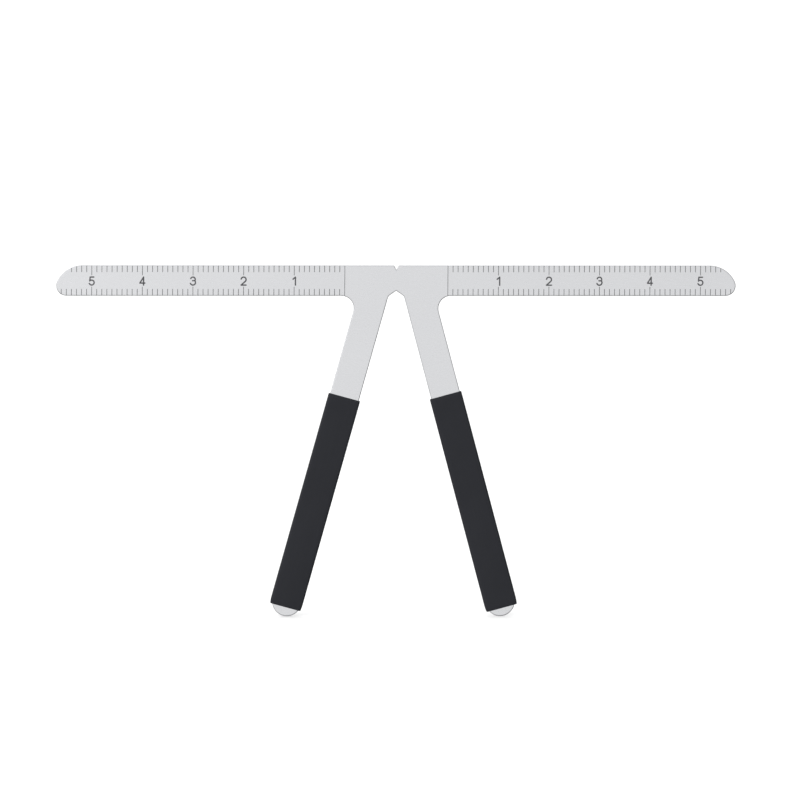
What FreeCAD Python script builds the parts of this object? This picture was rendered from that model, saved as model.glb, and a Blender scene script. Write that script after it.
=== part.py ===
import FreeCAD, Part
import math
import os

# Brow-mapping ruler. One flat stainless-steel plate makes the ruler and its two splayed legs. A tubular
# sleeve is shrunk on each leg as a handle. A scale is marked on the front, counted outwards from a zero
# line on each side.
#
# Frame: X along the ruler, Y through the plate with the marked front on the -Y side, Z up. The origin is
# on the centreline, in the middle of the plate's thickness, level with the tips of the legs. All sizes
# are in millimetres.

# Plate
RULER_LENGTH = 134.4
RULER_DEPTH = 6.0
OVERALL_HEIGHT = 69.4
PLATE_THICKNESS = 0.4
LEG_WIDTH = 5.85
LEG_SPLAY = 15.3          # degrees from vertical
LEG_AXIS_SPACING = 5.84   # between the two leg axes where they cross the ruler's top edge
LEG_FILLET = 2.5          # between the ruler's underside and the outside of a leg

# Ends of the ruler: a tight lower corner that runs into a wide upper one
NOSE_LOWER_RADIUS = 2.0
NOSE_UPPER_RADIUS = 5.5

# Marks of the centreline: a nick in the top edge, and a roof-shaped notch between the legs
NICK_WIDTH = 0.9
NICK_DEPTH = 0.85
NICK_SHOULDER_RADIUS = 0.2
ROOF_DEPTH = 5.0          # its ridge, below the ruler's top edge
ROOF_PITCH = 35.0         # degrees
ROOF_FILLET = 1.0         # into the inside of a leg

# Sleeves: one is cut a little longer than the other
RIGHT_SLEEVE_LENGTH = 43.7
LEFT_SLEEVE_LENGTH = 43.1
SLEEVE_WALL = 0.3
SLEEVE_CORNER_RADIUS = 0.3
RIGHT_BARE_TIP = 1.55     # steel left showing below a sleeve
LEFT_BARE_TIP = 1.75

# Scale, a raised dark layer on the front
MARK_THICKNESS = 0.02
MARK_MARGIN = 0.06        # bare steel between a mark and the plate's edge
ZERO_OFFSET = 10.2        # from the centreline to a zero line
ZERO_LINE_WIDTH = 0.1
TICK_WIDTH = 0.11
TOP_MM_TICK = 1.33
TOP_CM_TICK = 1.95
BOTTOM_MM_TICK = 1.35
BOTTOM_CM_TICK = 1.8
TOP_TICKS = 54
BOTTOM_TICKS = 56
NUMERAL_HEIGHT = 1.85
NUMERAL_WIDTH = 1.25
NUMERAL_STROKE = 0.27
NUMERAL_CENTRE_DEPTH = 3.1  # below the ruler's top edge

FRONT = -PLATE_THICKNESS / 2
THROUGH = FreeCAD.Vector(0, 1, 0)
CENTRE = FreeCAD.Vector(0, 0, 0)
SPLAY = math.radians(LEG_SPLAY)
UNDERSIDE = OVERALL_HEIGHT - RULER_DEPTH


def at(point, y=FRONT):
    """The place of an (x, z) point in the plane at y."""
    return FreeCAD.Vector(point[0], y, point[1])


def polar(centre, radius, degrees):
    """The (x, z) point at a distance from a centre, in a direction measured up from +X."""
    angle = math.radians(degrees)
    return centre[0] + radius * math.cos(angle), centre[1] + radius * math.sin(angle)


def bearing(start, end):
    """The direction from one (x, z) point to another, in degrees up from +X."""
    return math.degrees(math.atan2(end[1] - start[1], end[0] - start[0]))


def arc(centre, radius, start, end):
    """A circular edge from one direction to another, in degrees up from +X."""
    middle = (start + end) / 2
    points = [at(polar(centre, radius, degrees)) for degrees in (start, middle, end)]
    return Part.Arc(*points).toShape()


def chain(edges):
    """A closed wire of the given edges in order, with a straight edge across each gap."""
    links = []
    for i, edge in enumerate(edges):
        here = edge.lastVertex(True).Point
        there = edges[(i + 1) % len(edges)].firstVertex(True).Point
        links.append(edge)
        if here.distanceToPoint(there) > 1e-6:
            links.append(Part.makeLine(here, there))
    return Part.Wire(links)


def leg_axis_x(z):
    """How far a leg's axis is from the centreline at height z."""
    return LEG_AXIS_SPACING / 2 + (OVERALL_HEIGHT - z) * math.tan(SPLAY)


def leg_edge_x(z, side):
    """The outside (side 1) or inside (side -1) of the right leg at height z."""
    return leg_axis_x(z) + side * LEG_WIDTH / 2 / math.cos(SPLAY)


def nose_arcs():
    """The right end of the ruler, from its top edge round to its underside."""
    lower = (RULER_LENGTH / 2 - NOSE_LOWER_RADIUS, UNDERSIDE + NOSE_LOWER_RADIUS)
    apart = NOSE_UPPER_RADIUS - NOSE_LOWER_RADIUS
    drop = NOSE_UPPER_RADIUS - (RULER_DEPTH - NOSE_LOWER_RADIUS)
    turn = math.degrees(math.asin(drop / apart))
    upper = polar(lower, -apart, turn)
    return [arc(upper, NOSE_UPPER_RADIUS, 90, turn), arc(lower, NOSE_LOWER_RADIUS, turn, -90)]


def armpit_arc():
    """The fillet between the ruler's underside and the outside of the right leg."""
    z = UNDERSIDE - LEG_FILLET
    centre = (leg_edge_x(z, 1) + LEG_FILLET / math.cos(SPLAY), z)
    return arc(centre, LEG_FILLET, 90, 180 + LEG_SPLAY)


def leg_end_arc():
    """The full round at the end of the right leg."""
    radius = LEG_WIDTH / 2
    return arc((leg_axis_x(radius), radius), radius, LEG_SPLAY, LEG_SPLAY - 180)


def roof_arc():
    """The fillet between the inside of the right leg and the roof notch."""
    ridge = OVERALL_HEIGHT - ROOF_DEPTH
    pitch = math.radians(ROOF_PITCH)
    # Below the roof's slope by the radius, and clear of the leg's inside by the radius
    slope_x = leg_edge_x(ridge, -1) - ROOF_FILLET / math.cos(SPLAY)
    slope_drop = slope_x * math.tan(pitch) + ROOF_FILLET / math.cos(pitch)
    drop = slope_drop / (1 - math.tan(SPLAY) * math.tan(pitch))
    centre = (slope_x + drop * math.tan(SPLAY), ridge - drop)
    return arc(centre, ROOF_FILLET, LEG_SPLAY, 90 - ROOF_PITCH)


def nick_shoulder_arc():
    """The rounded shoulder at the right of the nick in the top edge."""
    flank = math.degrees(math.atan2(NICK_DEPTH, NICK_WIDTH / 2))
    reach = NICK_SHOULDER_RADIUS * math.tan(math.radians(flank / 2))
    centre = (NICK_WIDTH / 2 + reach, OVERALL_HEIGHT - NICK_SHOULDER_RADIUS)
    return arc(centre, NICK_SHOULDER_RADIUS, 90 + flank, 90)


def centreline_edge():
    """The cut up the centreline, from the roof notch's ridge to the bottom of the nick."""
    return Part.makeLine(at((0, OVERALL_HEIGHT - ROOF_DEPTH)), at((0, OVERALL_HEIGHT - NICK_DEPTH)))


def make_plate():
    """The ruler and its legs in one piece: the right half, and its mirror image."""
    edges = [nick_shoulder_arc(), *nose_arcs(), armpit_arc(), leg_end_arc(), roof_arc(), centreline_edge()]
    half = Part.Face(chain(edges)).extrude(THROUGH * PLATE_THICKNESS)
    other_half = half.mirror(CENTRE, FreeCAD.Vector(1, 0, 0))
    return half.fuse(other_half).removeSplitter()


def box(width, depth, length, centre_z):
    """A block centred on the Z axis."""
    corner = FreeCAD.Vector(-width / 2, -depth / 2, centre_z - length / 2)
    return Part.makeBox(width, depth, length, corner)


def on_right_leg(shape):
    """Move a shape made about the Z axis, with the leg's tip at z = 0, on to the right leg."""
    radius = LEG_WIDTH / 2
    tip = polar((leg_axis_x(radius), radius), radius, LEG_SPLAY - 90)
    placed = shape.copy()
    placed.rotate(CENTRE, THROUGH, -LEG_SPLAY)
    placed.translate(at(tip, 0))
    return placed


def make_sleeve(length, bare_tip):
    """A sleeve on the right leg: a flattened tube, cut square at both ends."""
    middle = bare_tip + length / 2
    outside = box(LEG_WIDTH + 2 * SLEEVE_WALL, PLATE_THICKNESS + 2 * SLEEVE_WALL, length, middle)
    long_edges = [edge for edge in outside.Edges if edge.Length > length - 1]
    outside = outside.makeFillet(SLEEVE_CORNER_RADIUS, long_edges)
    bore = box(LEG_WIDTH, PLATE_THICKNESS, length + 2, middle)
    return on_right_leg(outside.cut(bore))


def mark_layer(face):
    """A flat face on the plate's front, thickened outwards into a mark."""
    return face.extrude(THROUGH * -MARK_THICKNESS)


def polygon(corners):
    """A face on the plate's front with the given (x, z) corners."""
    return Part.Face(Part.makePolygon([at(corner) for corner in corners + corners[:1]]))


def rectangle(left, right, bottom, top):
    """An upright rectangular face on the plate's front."""
    return polygon([(left, bottom), (right, bottom), (right, top), (left, top)])


def make_zero_line():
    """The full-height line that the right-hand scale counts from."""
    left = ZERO_OFFSET - ZERO_LINE_WIDTH / 2
    bottom, top = UNDERSIDE + MARK_MARGIN, OVERALL_HEIGHT - MARK_MARGIN
    return mark_layer(rectangle(left, left + ZERO_LINE_WIDTH, bottom, top))


def tick_row(count, mm_length, cm_length, edge, inward):
    """Upright ticks from number 1 to count, reaching inwards from the ruler's edge at a height, as faces."""
    ticks = []
    for number in range(1, count + 1):
        length = mm_length if number % 10 else cm_length
        left = ZERO_OFFSET + number - TICK_WIDTH / 2
        bottom, top = sorted([edge, edge + inward * length])
        ticks.append(rectangle(left, left + TICK_WIDTH, bottom, top))
    return ticks


def make_graduations(plate):
    """Millimetre ticks along both long edges of the right-hand scale, trimmed where the nose curves away."""
    front = min(plate.Faces, key=lambda face: face.CenterOfMass.y)
    field = front.makeOffset2D(-MARK_MARGIN)
    ticks = tick_row(TOP_TICKS, TOP_MM_TICK, TOP_CM_TICK, OVERALL_HEIGHT, -1)
    ticks += tick_row(BOTTOM_TICKS, BOTTOM_MM_TICK, BOTTOM_CM_TICK, UNDERSIDE, 1)
    return Part.Compound([mark_layer(face) for tick in ticks for face in tick.common(field).Faces])


def bar(start, end):
    """A straight pen stroke with round ends between two (x, z) points, as a face."""
    half_pen = NUMERAL_STROKE / 2
    along = bearing(start, end)
    ends = [arc(start, half_pen, along + 90, along + 270), arc(end, half_pen, along - 90, along + 90)]
    return Part.Face(chain(ends))


def bow(centre, radius, start, end):
    """A pen stroke with round ends, clockwise about a centre from one direction to another, as a face."""
    half_pen = NUMERAL_STROKE / 2
    outside = arc(centre, radius + half_pen, start, end)
    last_end = arc(polar(centre, radius, end), half_pen, end, end - 180)
    inside = arc(centre, radius - half_pen, end, start)
    first_end = arc(polar(centre, radius, start), half_pen, start + 180, start)
    return Part.Face(chain([outside, last_end, inside, first_end]))


def digit_1(width, height):
    stem = 0.64 * width
    return [bar((stem, 0), (stem, height)), bar((stem, height), (0.14 * width, 0.74 * height))]


def digit_2(width, height):
    radius = width / 2
    crown = (radius, height - radius)
    # The neck leaves the crown along its tangent to the left end of the foot
    turn = bearing(crown, (0, 0)) + math.degrees(math.acos(radius / math.dist(crown, (0, 0))))
    return [
        bow(crown, radius, 170, turn),
        bar(polar(crown, radius, turn), (0, 0)),
        bar((0, 0), (width, 0)),
    ]


def digit_3(width, height):
    upper, lower = 0.46 * width, 0.52 * width
    upper_centre, lower_centre = (width / 2, height - upper), (width / 2, lower)
    # The two bowls cross at the waist
    apart = upper_centre[1] - lower_centre[1]
    rise = (apart ** 2 + lower ** 2 - upper ** 2) / (2 * apart)
    waist_above = math.degrees(math.asin(rise / lower))
    waist_below = math.degrees(math.asin((apart - rise) / upper))
    waist = polar(lower_centre, lower, waist_above)
    return [
        bow(upper_centre, upper, 160, -waist_below),
        bow(lower_centre, lower, waist_above, -160),
        bar(waist, (0.42 * width, waist[1])),
    ]


def digit_4(width, height):
    stem, shelf = 0.74 * width, 0.25 * height
    return [
        bar((stem, 0), (stem, height)),
        bar((stem, height), (0, shelf)),
        bar((0, shelf), (width, shelf)),
    ]


def digit_5(width, height):
    radius = 0.5 * width
    belly = (radius, radius)
    corner = (0.2 * width, height)
    return [
        bar(corner, (0.92 * width, height)),
        bar(corner, polar(belly, radius, 140)),
        bow(belly, radius, 140, -160),
    ]


def make_numeral(draw, centre_x):
    """One centimetre numeral, centred on centre_x."""
    strokes = draw(NUMERAL_WIDTH - NUMERAL_STROKE, NUMERAL_HEIGHT - NUMERAL_STROKE)
    layers = [mark_layer(stroke) for stroke in strokes]
    numeral = layers[0].multiFuse(layers[1:]).removeSplitter()
    middle = numeral.BoundBox.Center
    centre_z = OVERALL_HEIGHT - NUMERAL_CENTRE_DEPTH
    numeral.translate(FreeCAD.Vector(centre_x - middle.x, 0, centre_z - middle.z))
    return numeral


def make_numerals(side):
    """The centimetre numerals of the right (side 1) or left (side -1) scale. They read upright on both."""
    solids = []
    for number, draw in enumerate((digit_1, digit_2, digit_3, digit_4, digit_5), 1):
        solids.extend(make_numeral(draw, side * (ZERO_OFFSET + 10 * number)).Solids)
    return Part.Compound(solids)


def left_twin(shape):
    """The mirror image of a right-hand piece."""
    return shape.mirror(CENTRE, FreeCAD.Vector(1, 0, 0))


def main():
    plate = make_plate()
    graduations = make_graduations(plate)
    zero_line = make_zero_line()
    nodes = {
        "ruler_plate": plate,
        "right_handle_sleeve": make_sleeve(RIGHT_SLEEVE_LENGTH, RIGHT_BARE_TIP),
        "left_handle_sleeve": left_twin(make_sleeve(LEFT_SLEEVE_LENGTH, LEFT_BARE_TIP)),
        "right_graduations": graduations,
        "left_graduations": left_twin(graduations),
        "right_zero_line": zero_line,
        "left_zero_line": left_twin(zero_line),
        "right_numerals": make_numerals(1),
        "left_numerals": make_numerals(-1),
    }
    os.makedirs("parts", exist_ok=True)
    for name, shape in nodes.items():
        shape.exportStep(f"parts/{name}.step")
        state = "valid" if shape.isValid() else "INVALID"
        print(name, len(shape.Solids), "solids", round(shape.Volume, 4), "mm3", state)


main()
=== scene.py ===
import bmesh
import bpy
import math
from mathutils import Matrix, Vector
from mathutils.noise import noise as noise_at


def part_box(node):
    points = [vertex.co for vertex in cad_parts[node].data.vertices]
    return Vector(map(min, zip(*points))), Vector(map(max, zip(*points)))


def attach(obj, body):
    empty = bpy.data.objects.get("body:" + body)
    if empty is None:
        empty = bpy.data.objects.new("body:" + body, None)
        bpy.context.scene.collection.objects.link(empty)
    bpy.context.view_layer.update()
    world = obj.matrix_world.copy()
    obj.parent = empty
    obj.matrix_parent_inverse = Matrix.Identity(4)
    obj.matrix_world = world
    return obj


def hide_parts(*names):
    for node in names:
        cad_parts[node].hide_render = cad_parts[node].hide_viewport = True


# Looks of the brow-mapping ruler: brushed steel plate, shrunk-on matt black sleeves, dark scale.
# Everything is in metres, in the frame's own axes: X along the ruler, Y through the plate, Z up.

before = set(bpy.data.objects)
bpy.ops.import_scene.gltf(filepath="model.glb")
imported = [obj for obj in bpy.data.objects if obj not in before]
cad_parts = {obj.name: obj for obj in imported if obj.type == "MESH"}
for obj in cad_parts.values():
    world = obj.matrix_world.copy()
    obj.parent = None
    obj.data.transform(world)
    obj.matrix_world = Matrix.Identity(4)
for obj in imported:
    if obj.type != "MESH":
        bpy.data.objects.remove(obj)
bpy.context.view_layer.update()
BODY = "root"
MM = 0.001

# Plate
EDGE_RADIUS = 0.15 * MM
EDGE_STEPS = 5
MERGE_DISTANCE = 0.001 * MM       # corners of the frame's mesh that are taken as one
FLAT_ANGLE = math.radians(1)      # faces of the frame's mesh that are taken as one
MITRE_LIMIT = 0.4                 # keeps an inset corner from running far past its edge

# Sleeves
EDGE_WALL = 0.3 * MM
SLEEVE_ROUNDING = 0.4 * MM
CORNER_STEPS = 6
FACE_STEPS = 10
FACE_CROWN = 0.03 * MM
RING_SPACING = 0.8 * MM
LIP_RADIUS = 0.16 * MM
LIP_STEPS = 5
NECK_LENGTH = 1.3 * MM
NECK_DEPTH = 0.13 * MM
WAVE_DEPTH = 0.012 * MM
WAVE_PITCH = 2.6 * MM
BORE_CORNER = 0.02 * MM
BORE_CLEARANCE = 0.003 * MM
RAIL_SHARE = 0.9                  # of a sleeve's height, which only its long edges reach
SHARP_ANGLE = math.radians(50)

# Materials: base colours from dark to light, noise in features per metre, roughness and relief
STEEL_TONES = ((0.685, 0.690, 0.706), (0.710, 0.715, 0.731))
STEEL_GRAIN = (600, 4000, 26000)
STEEL_CLOUD = (30, 30, 45)
STEEL_ROUGHNESS = (0.24, 0.36)
STEEL_RELIEF = 0.001 * MM
CUT_TONES = ((0.44, 0.445, 0.46), (0.54, 0.545, 0.56))
CUT_MARKS = (9000, 500, 9000)
CUT_ROUGHNESS = (0.3, 0.45)
CUT_RELIEF = 0.002 * MM
SLEEVE_TONES = ((0.0093, 0.0102, 0.0139), (0.0156, 0.0166, 0.0214))
SLEEVE_PEBBLE = (9000, 9000, 9000)
SLEEVE_DRAWN = (5200, 5200, 90)
SLEEVE_CLOUD = (140, 140, 70)
SLEEVE_ROUGHNESS = (0.48, 0.62)
SLEEVE_IOR = 1.45
SLEEVE_SPECULAR = 0.25
SLEEVE_RELIEF = 0.01 * MM
MARK_TONES = ((0.05, 0.05, 0.053), (0.09, 0.09, 0.095))
MARK_SPECKLE = (14000, 14000, 14000)
MARK_CLOUD = (90, 90, 90)
MARK_ROUGHNESS = (0.45, 0.6)
MARK_IOR = 1.3
NOISE_SPAN = (0.3, 0.7)           # holds most values of a noise
CLOUD_SPAN = (0.35, 0.65)         # the same for a noise of little detail
TEXTURE_SPAN = (0.1, 0.55)        # the same for the sleeve's pebble and drawn lines together

# Camera: fitted to the photograph, above and to the left of square-on
SENSOR = 36.0
VIEW_WIDTH = 157.6 * MM
CAMERA_DISTANCE = 6.5
CAMERA_TARGET = (0.95 * MM, 0, 42.77 * MM)
CAMERA_LEFT = math.radians(5.4)
CAMERA_ABOVE = math.radians(5.4)
CAMERA_ROLL = math.radians(0.51)

# Light: the world's level in a direction, whose parts along X, Y and Z run from -1 to 1
LOW_LEVEL = 0.2                   # straight down
HIGH_LEVEL = 1.36                 # from HIGH_AT upwards
HIGH_AT = 0.1                     # of Z
LEFT_GAIN = 0.1                   # added on the left and taken off on the right
FLAG_DEPTH = 1.3                  # taken off on the right, towards the front
FLAG_FRONT = -0.4                 # of Y, where the flag is at its full depth
FLAG_BACK = 0.6                   # of Y, where it ends

# Softboxes: place, target, size in metres and power in watts
KEY_LIGHT = ((-0.5, -0.7, 0.9), (0, 0, 0.04), 0.6, 2)
FILL_LIGHT = ((-0.25, -0.6, 0.06), (-0.03, 0, 0.06), 0.15, 0.35)

# Floor
FLOOR_REACH = 40
FLOOR_COLOUR = (0.95, 0.95, 0.95, 1)
FLOOR_ROUGHNESS = 0.9
WHITE = (1, 1, 1, 1)

MARK_KINDS = ("graduations", "zero_line", "numerals")


def add_object(name, mesh):
    """A mesh, put in the scene as an object."""
    piece = bpy.data.objects.new(name, mesh)
    bpy.context.scene.collection.objects.link(piece)
    return piece


# Node helpers

def new_material(name):
    """An empty node material, its principled shader and its links."""
    material = bpy.data.materials.new(name)
    material.use_nodes = True
    shader = material.node_tree.nodes["Principled BSDF"]
    return material, material.node_tree, shader


def object_space(tree, scale):
    """Object coordinates, which are in metres, stretched by a scale on each axis."""
    place = tree.nodes.new("ShaderNodeTexCoord")
    stretch = tree.nodes.new("ShaderNodeMapping")
    stretch.inputs["Scale"].default_value = scale
    tree.links.new(place.outputs["Object"], stretch.inputs["Vector"])
    return stretch.outputs["Vector"]


def noise(tree, scale, detail=3.0, roughness=0.5):
    """Noise whose scale, in features per metre, is set on each axis."""
    texture = tree.nodes.new("ShaderNodeTexNoise")
    texture.inputs["Scale"].default_value = 1.0
    texture.inputs["Detail"].default_value = detail
    texture.inputs["Roughness"].default_value = roughness
    tree.links.new(object_space(tree, scale), texture.inputs["Vector"])
    return texture.outputs["Fac"]


def spread(tree, value, low, high, to_low, to_high):
    """A value mapped from one range to another."""
    ramp = tree.nodes.new("ShaderNodeMapRange")
    ramp.inputs["From Min"].default_value = low
    ramp.inputs["From Max"].default_value = high
    ramp.inputs["To Min"].default_value = to_low
    ramp.inputs["To Max"].default_value = to_high
    tree.links.new(value, ramp.inputs["Value"])
    return ramp.outputs["Result"]


def tint(tree, factor, dark, light):
    """A colour between two, by a factor."""
    mix = tree.nodes.new("ShaderNodeMix")
    mix.data_type = "RGBA"
    mix.inputs["A"].default_value = (*dark, 1)
    mix.inputs["B"].default_value = (*light, 1)
    tree.links.new(factor, mix.inputs["Factor"])
    return mix.outputs["Result"]


def add(tree, first, second):
    """The sum of two values."""
    total = tree.nodes.new("ShaderNodeMath")
    total.operation = "ADD"
    tree.links.new(first, total.inputs[0])
    tree.links.new(second, total.inputs[1])
    return total.outputs["Value"]


def bump(tree, shader, height, depth):
    """Relief of a depth in metres on a shader."""
    relief = tree.nodes.new("ShaderNodeBump")
    relief.inputs["Distance"].default_value = depth
    tree.links.new(height, relief.inputs["Height"])
    tree.links.new(relief.outputs["Normal"], shader.inputs["Normal"])


# Materials

def brushed_steel():
    """Satin stainless sheet, brushed along the ruler, with a slow drift of tone."""
    material, tree, shader = new_material("brushed_steel")
    grain = noise(tree, STEEL_GRAIN, detail=4)
    cloud = noise(tree, STEEL_CLOUD, detail=2)
    fine = spread(tree, grain, *NOISE_SPAN, 0.0, 0.45)
    slow = spread(tree, cloud, *CLOUD_SPAN, 0.0, 0.55)
    tone = add(tree, fine, slow)
    tree.links.new(tint(tree, tone, *STEEL_TONES), shader.inputs["Base Color"])
    tree.links.new(spread(tree, grain, *NOISE_SPAN, *STEEL_ROUGHNESS), shader.inputs["Roughness"])
    shader.inputs["Metallic"].default_value = 1.0
    bump(tree, shader, grain, STEEL_RELIEF)
    return material


def cut_steel():
    """The plate's cut and tumbled edge: duller, with fine marks through the thickness."""
    material, tree, shader = new_material("cut_steel")
    marks = noise(tree, CUT_MARKS, detail=3)
    tree.links.new(tint(tree, marks, *CUT_TONES), shader.inputs["Base Color"])
    tree.links.new(spread(tree, marks, *NOISE_SPAN, *CUT_ROUGHNESS), shader.inputs["Roughness"])
    shader.inputs["Metallic"].default_value = 1.0
    bump(tree, shader, marks, CUT_RELIEF)
    return material


def shrink_sleeve():
    """Matt black shrink tube: fine pebble, faint lines drawn along it and patches of bloom."""
    material, tree, shader = new_material("shrink_sleeve")
    pebble = noise(tree, SLEEVE_PEBBLE, detail=3, roughness=0.6)
    drawn = noise(tree, SLEEVE_DRAWN, detail=3)
    cloud = noise(tree, SLEEVE_CLOUD, detail=3)
    pebbled = spread(tree, pebble, *NOISE_SPAN, 0.0, 0.35)
    lined = spread(tree, drawn, *NOISE_SPAN, 0.0, 0.3)
    texture = add(tree, pebbled, lined)
    tone = add(tree, texture, spread(tree, cloud, *NOISE_SPAN, 0.0, 0.35))
    tree.links.new(tint(tree, tone, *SLEEVE_TONES), shader.inputs["Base Color"])
    tree.links.new(spread(tree, texture, *TEXTURE_SPAN, *SLEEVE_ROUGHNESS), shader.inputs["Roughness"])
    shader.inputs["IOR"].default_value = SLEEVE_IOR
    shader.inputs["Specular IOR Level"].default_value = SLEEVE_SPECULAR
    bump(tree, shader, texture, SLEEVE_RELIEF)
    return material


def laser_mark():
    """Dark mark on steel, a little uneven along each line."""
    material, tree, shader = new_material("laser_mark")
    speckle = noise(tree, MARK_SPECKLE, detail=2)
    cloud = noise(tree, MARK_CLOUD, detail=1)
    fine = spread(tree, speckle, *NOISE_SPAN, 0.0, 0.6)
    slow = spread(tree, cloud, *CLOUD_SPAN, 0.0, 0.4)
    tone = add(tree, fine, slow)
    tree.links.new(tint(tree, tone, *MARK_TONES), shader.inputs["Base Color"])
    tree.links.new(spread(tree, speckle, *NOISE_SPAN, *MARK_ROUGHNESS), shader.inputs["Roughness"])
    shader.inputs["IOR"].default_value = MARK_IOR
    return material


# Plate

def front_outline(node):
    """The outline of a node's front face, as corners in order."""
    work = bmesh.new()
    work.from_mesh(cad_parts[node].data)
    bmesh.ops.remove_doubles(work, verts=work.verts, dist=MERGE_DISTANCE)
    bmesh.ops.dissolve_limit(work, angle_limit=FLAT_ANGLE, verts=work.verts, edges=work.edges)
    front = min(work.faces, key=lambda face: face.calc_center_median().y - face.calc_area())
    outline = [vertex.co.xz for vertex in front.verts]
    work.free()
    return outline


def inset(outline, distance):
    """An outline moved inwards, or outwards by a negative distance."""
    area = sum(a.x * b.y - b.x * a.y for a, b in zip(outline, outline[1:] + outline[:1]))
    turn = 1 if area > 0 else -1
    moved = []
    for before, corner, after in zip(outline[-1:] + outline[:-1], outline, outline[1:] + outline[:1]):
        first = (corner - before).normalized()
        second = (after - corner).normalized()
        inwards = Vector((-first.y - second.y, first.x + second.x)).normalized() * turn
        reach = distance / max(MITRE_LIMIT, inwards.dot(Vector((-first.y, first.x))) * turn)
        moved.append(corner + inwards * reach)
    return moved


def join_rings(rings, closed):
    """Quads between one ring of corners and the next, as corner numbers."""
    count = len(rings[0])
    pairs = [(ring, ring + 1) for ring in range(len(rings) - 1)]
    if closed:
        pairs.append((len(rings) - 1, 0))
    faces = []
    for low, high in pairs:
        low, high = low * count, high * count
        for corner in range(count):
            after = (corner + 1) % count
            faces.append((low + corner, low + after, high + after, high + corner))
    return faces


def outward(mesh):
    """Turn every face of a closed mesh outwards."""
    work = bmesh.new()
    work.from_mesh(mesh)
    bmesh.ops.recalc_face_normals(work, faces=work.faces)
    work.to_mesh(mesh)
    work.free()


def finished(name, mesh, node):
    """A piece that stands in place of a CAD node, which it hides."""
    piece = add_object(name, mesh)
    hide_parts(node)
    return piece


def plate_piece(face_material, edge_material):
    """The steel plate: flat faces of the frame's outline, with every edge rounded over."""
    low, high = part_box("ruler_plate")
    outline = front_outline("ruler_plate")
    rings = []
    for side, steps in ((-1, range(EDGE_STEPS + 1)), (1, reversed(range(EDGE_STEPS + 1)))):
        for step in steps:
            angle = math.radians(90) * step / EDGE_STEPS
            edge = inset(outline, EDGE_RADIUS * (1 - math.sin(angle)))
            y = side * ((high.y - low.y) / 2 - EDGE_RADIUS * (1 - math.cos(angle)))
            rings.append([(corner.x, y, corner.y) for corner in edge])
    faces = join_rings(rings, closed=False)
    count = len(outline)
    caps = [tuple(range(count)), tuple(range(len(rings) * count - count, len(rings) * count))]
    mesh = bpy.data.meshes.new("steel_plate")
    mesh.from_pydata([corner for ring in rings for corner in ring], [], faces + caps)
    mesh.materials.append(face_material)
    mesh.materials.append(edge_material)
    for polygon in mesh.polygons:
        is_cap = len(polygon.vertices) > 4
        polygon.use_smooth = not is_cap
        polygon.material_index = 0 if is_cap else 1
    outward(mesh)
    piece = finished("steel_plate", mesh, "ruler_plate")
    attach(piece, BODY)


# Sleeves

def sleeve_place(node):
    """A sleeve's middle, the lean of its leg, and its width, depth and length."""
    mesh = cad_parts[node].data
    low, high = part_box(node)
    ends = [[mesh.vertices[end].co for end in edge.vertices] for edge in mesh.edges]
    spans = [first - second for first, second in ends]
    rails = [span for span in spans if span.length > RAIL_SHARE * (high.z - low.z)]
    rail = min(rails, key=lambda span: span.length)
    lean = math.atan(rail.x / rail.z)
    width = (high.x - low.x - rail.length * abs(math.sin(lean))) / math.cos(lean)
    return (low + high) / 2, lean, width, high.y - low.y, rail.length


def section(half_width, half_depth, rounding, crown):
    """A flattened section: rounded corners joined by slightly crowned faces."""
    reach = half_width - rounding
    points = []
    for side, start in ((1, -90), (-1, 90)):
        for quarter in (0, 1):
            for step in range(CORNER_STEPS + 1):
                angle = math.radians(start + 90 * quarter + 90 * step / CORNER_STEPS)
                lift = (half_depth - crown - rounding) * (side if quarter else -side)
                points.append((side * reach + rounding * math.cos(angle), lift + rounding * math.sin(angle)))
        for step in range(1, FACE_STEPS):
            x = side * reach * (1 - 2 * step / FACE_STEPS)
            points.append((x, side * (half_depth - crown * (x / reach) ** 2)))
    return points


def ring_heights(length):
    """(height, how far the lip is rounded in) of each ring, from the tip end of a sleeve to its top."""
    lip = []
    for step in range(LIP_STEPS):
        angle = math.radians(90) * step / LIP_STEPS
        lip.append((LIP_RADIUS * (1 - math.sin(math.pi / 2 - angle)), LIP_RADIUS * (1 - math.sin(angle))))
    count = round((length - 2 * LIP_RADIUS) / RING_SPACING)
    plain = [(LIP_RADIUS + (length - 2 * LIP_RADIUS) * step / count, 0.0) for step in range(count + 1)]
    ends = [(length - height, drawn_in) for height, drawn_in in reversed(lip)]
    return [(height - length / 2, drawn_in) for height, drawn_in in lip + plain + ends]


def necking(height, length):
    """How far a sleeve draws in at a height, where the leg's tip begins to round."""
    depth = max(0.0, 1 - (height + length / 2) / NECK_LENGTH)
    return NECK_DEPTH * depth ** 2


def waves(x, height, seed):
    """The slow unevenness that shrinking leaves."""
    return WAVE_DEPTH * noise_at(Vector((x / WAVE_PITCH, seed, height / WAVE_PITCH)))


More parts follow.
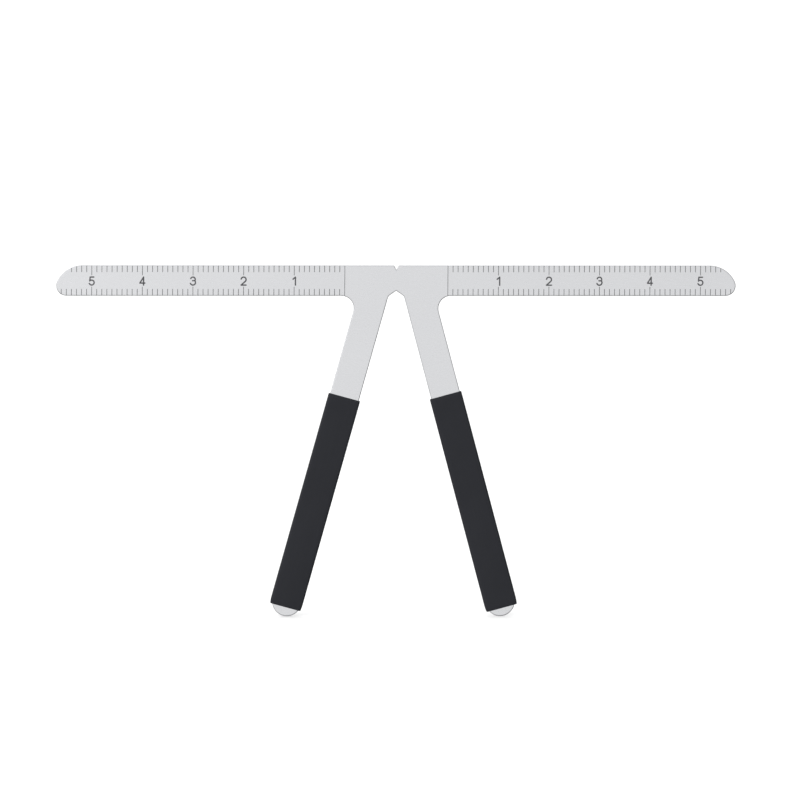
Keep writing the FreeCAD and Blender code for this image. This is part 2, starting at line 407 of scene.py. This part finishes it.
def sleeve_piece(name, node, material, seed):
    """A shrunk-on sleeve: a flattened tube with softened ends, open where the leg goes through."""
    middle, lean, width, depth, length = sleeve_place(node)
    low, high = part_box("ruler_plate")
    outside, bore = [], []
    for height, drawn_in in ring_heights(length):
        half_width = width / 2 - drawn_in - necking(height, length)
        ring = section(half_width, depth / 2 - drawn_in, SLEEVE_ROUNDING - drawn_in / 2, FACE_CROWN)
        for index, (x, y) in enumerate(ring):
            swell = 1 - abs(waves(x, height, seed)) / (depth / 2)
            ring[index] = (x, y * swell, height)
        outside.append(ring)
        half_bore = width / 2 - EDGE_WALL - necking(height, length) + BORE_CLEARANCE
        inner = section(half_bore, (high.y - low.y) / 2 + BORE_CLEARANCE, BORE_CORNER, 0.0)
        bore.append([(x, y, height) for x, y in inner])
    rings = outside + bore[::-1]
    mesh = bpy.data.meshes.new(name)
    mesh.from_pydata([corner for ring in rings for corner in ring], [], join_rings(rings, closed=True))
    mesh.materials.append(material)
    mesh.shade_smooth()
    outward(mesh)
    mesh.set_sharp_from_angle(angle=SHARP_ANGLE)
    piece = finished(name, mesh, node)
    piece.matrix_world = Matrix.Translation(middle) @ Matrix.Rotation(lean, 4, "Y")
    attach(piece, BODY)


# Studio

def studio_floor():
    """A wide pale floor under the leg tips."""
    mesh = bpy.data.meshes.new("floor")
    reach = FLOOR_REACH
    corners = [(-reach, -reach, 0), (reach, -reach, 0), (reach, reach, 0), (-reach, reach, 0)]
    mesh.from_pydata(corners, [], [(0, 1, 2, 3)])
    floor = add_object("floor", mesh)
    material, _, shader = new_material("floor_paper")
    shader.inputs["Base Color"].default_value = FLOOR_COLOUR
    shader.inputs["Roughness"].default_value = FLOOR_ROUGHNESS
    mesh.materials.append(material)
    floor.visible_glossy = False


def studio_world():
    """A white studio, brighter above and dim to the front on the right. The camera sees plain white."""
    world = bpy.data.worlds.new("studio")
    world.use_nodes = True
    bpy.context.scene.world = world
    tree = world.node_tree
    place = tree.nodes.new("ShaderNodeTexCoord")
    axes = tree.nodes.new("ShaderNodeSeparateXYZ")
    tree.links.new(place.outputs["Generated"], axes.inputs["Vector"])
    height = spread(tree, axes.outputs["Z"], -1.0, HIGH_AT, LOW_LEVEL, HIGH_LEVEL)
    across = spread(tree, axes.outputs["X"], -1.0, 1.0, LEFT_GAIN, -LEFT_GAIN)
    right = spread(tree, axes.outputs["X"], 0.0, 1.0, 0.0, -FLAG_DEPTH)
    front = spread(tree, axes.outputs["Y"], FLAG_FRONT, FLAG_BACK, 1.0, 0.0)
    flag = tree.nodes.new("ShaderNodeMath")
    flag.operation = "MULTIPLY"
    tree.links.new(right, flag.inputs[0])
    tree.links.new(front, flag.inputs[1])
    level = add(tree, add(tree, height, across), flag.outputs["Value"])
    studio = tree.nodes["Background"]
    studio.inputs["Color"].default_value = WHITE
    tree.links.new(level, studio.inputs["Strength"])
    backdrop = tree.nodes.new("ShaderNodeBackground")
    backdrop.inputs["Color"].default_value = WHITE
    path = tree.nodes.new("ShaderNodeLightPath")
    mix = tree.nodes.new("ShaderNodeMixShader")
    tree.links.new(path.outputs["Is Camera Ray"], mix.inputs["Fac"])
    tree.links.new(studio.outputs["Background"], mix.inputs[1])
    tree.links.new(backdrop.outputs["Background"], mix.inputs[2])
    tree.links.new(mix.outputs["Shader"], tree.nodes["World Output"].inputs["Surface"])


def softbox(name, place, target, size, power):
    """A square soft light at a place, turned to a target."""
    data = bpy.data.lights.new(name, "AREA")
    data.size = size
    data.energy = power
    light = bpy.data.objects.new(name, data)
    light.location = place
    light.rotation_euler = (Vector(target) - Vector(place)).to_track_quat("-Z", "Y").to_euler()
    bpy.context.scene.collection.objects.link(light)


def studio_camera():
    """A view fitted to the photograph: almost square on to the marked face, and far enough to flatten it."""
    data = bpy.data.cameras.new("camera")
    data.sensor_width = SENSOR
    data.lens = SENSOR * CAMERA_DISTANCE / VIEW_WIDTH
    camera = bpy.data.objects.new("camera", data)
    across = math.cos(CAMERA_ABOVE)
    back = Vector((-math.sin(CAMERA_LEFT) * across, -math.cos(CAMERA_LEFT) * across, math.sin(CAMERA_ABOVE)))
    camera.location = Vector(CAMERA_TARGET) + back * CAMERA_DISTANCE
    roll = Matrix.Rotation(CAMERA_ROLL, 3, "Z")
    camera.rotation_euler = (back.to_track_quat("Z", "Y").to_matrix() @ roll).to_euler()
    bpy.context.scene.collection.objects.link(camera)
    bpy.context.scene.camera = camera


def set_material(nodes, material):
    """Give a material to the frame's own pieces."""
    for name in nodes:
        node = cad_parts[name]
        for place in node.material_slots:
            place.material = material


studio_camera()
studio_floor()
studio_world()
softbox("key", *KEY_LIGHT)
softbox("fill", *FILL_LIGHT)
plate_piece(brushed_steel(), cut_steel())
sleeve = shrink_sleeve()
sleeve_piece("right_sleeve", "right_handle_sleeve", sleeve, seed=1.5)
sleeve_piece("left_sleeve", "left_handle_sleeve", sleeve, seed=7.5)
marks = [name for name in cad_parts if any(kind in name for kind in MARK_KINDS)]
set_material(marks, laser_mark())
bpy.context.scene.view_settings.view_transform = "Standard"
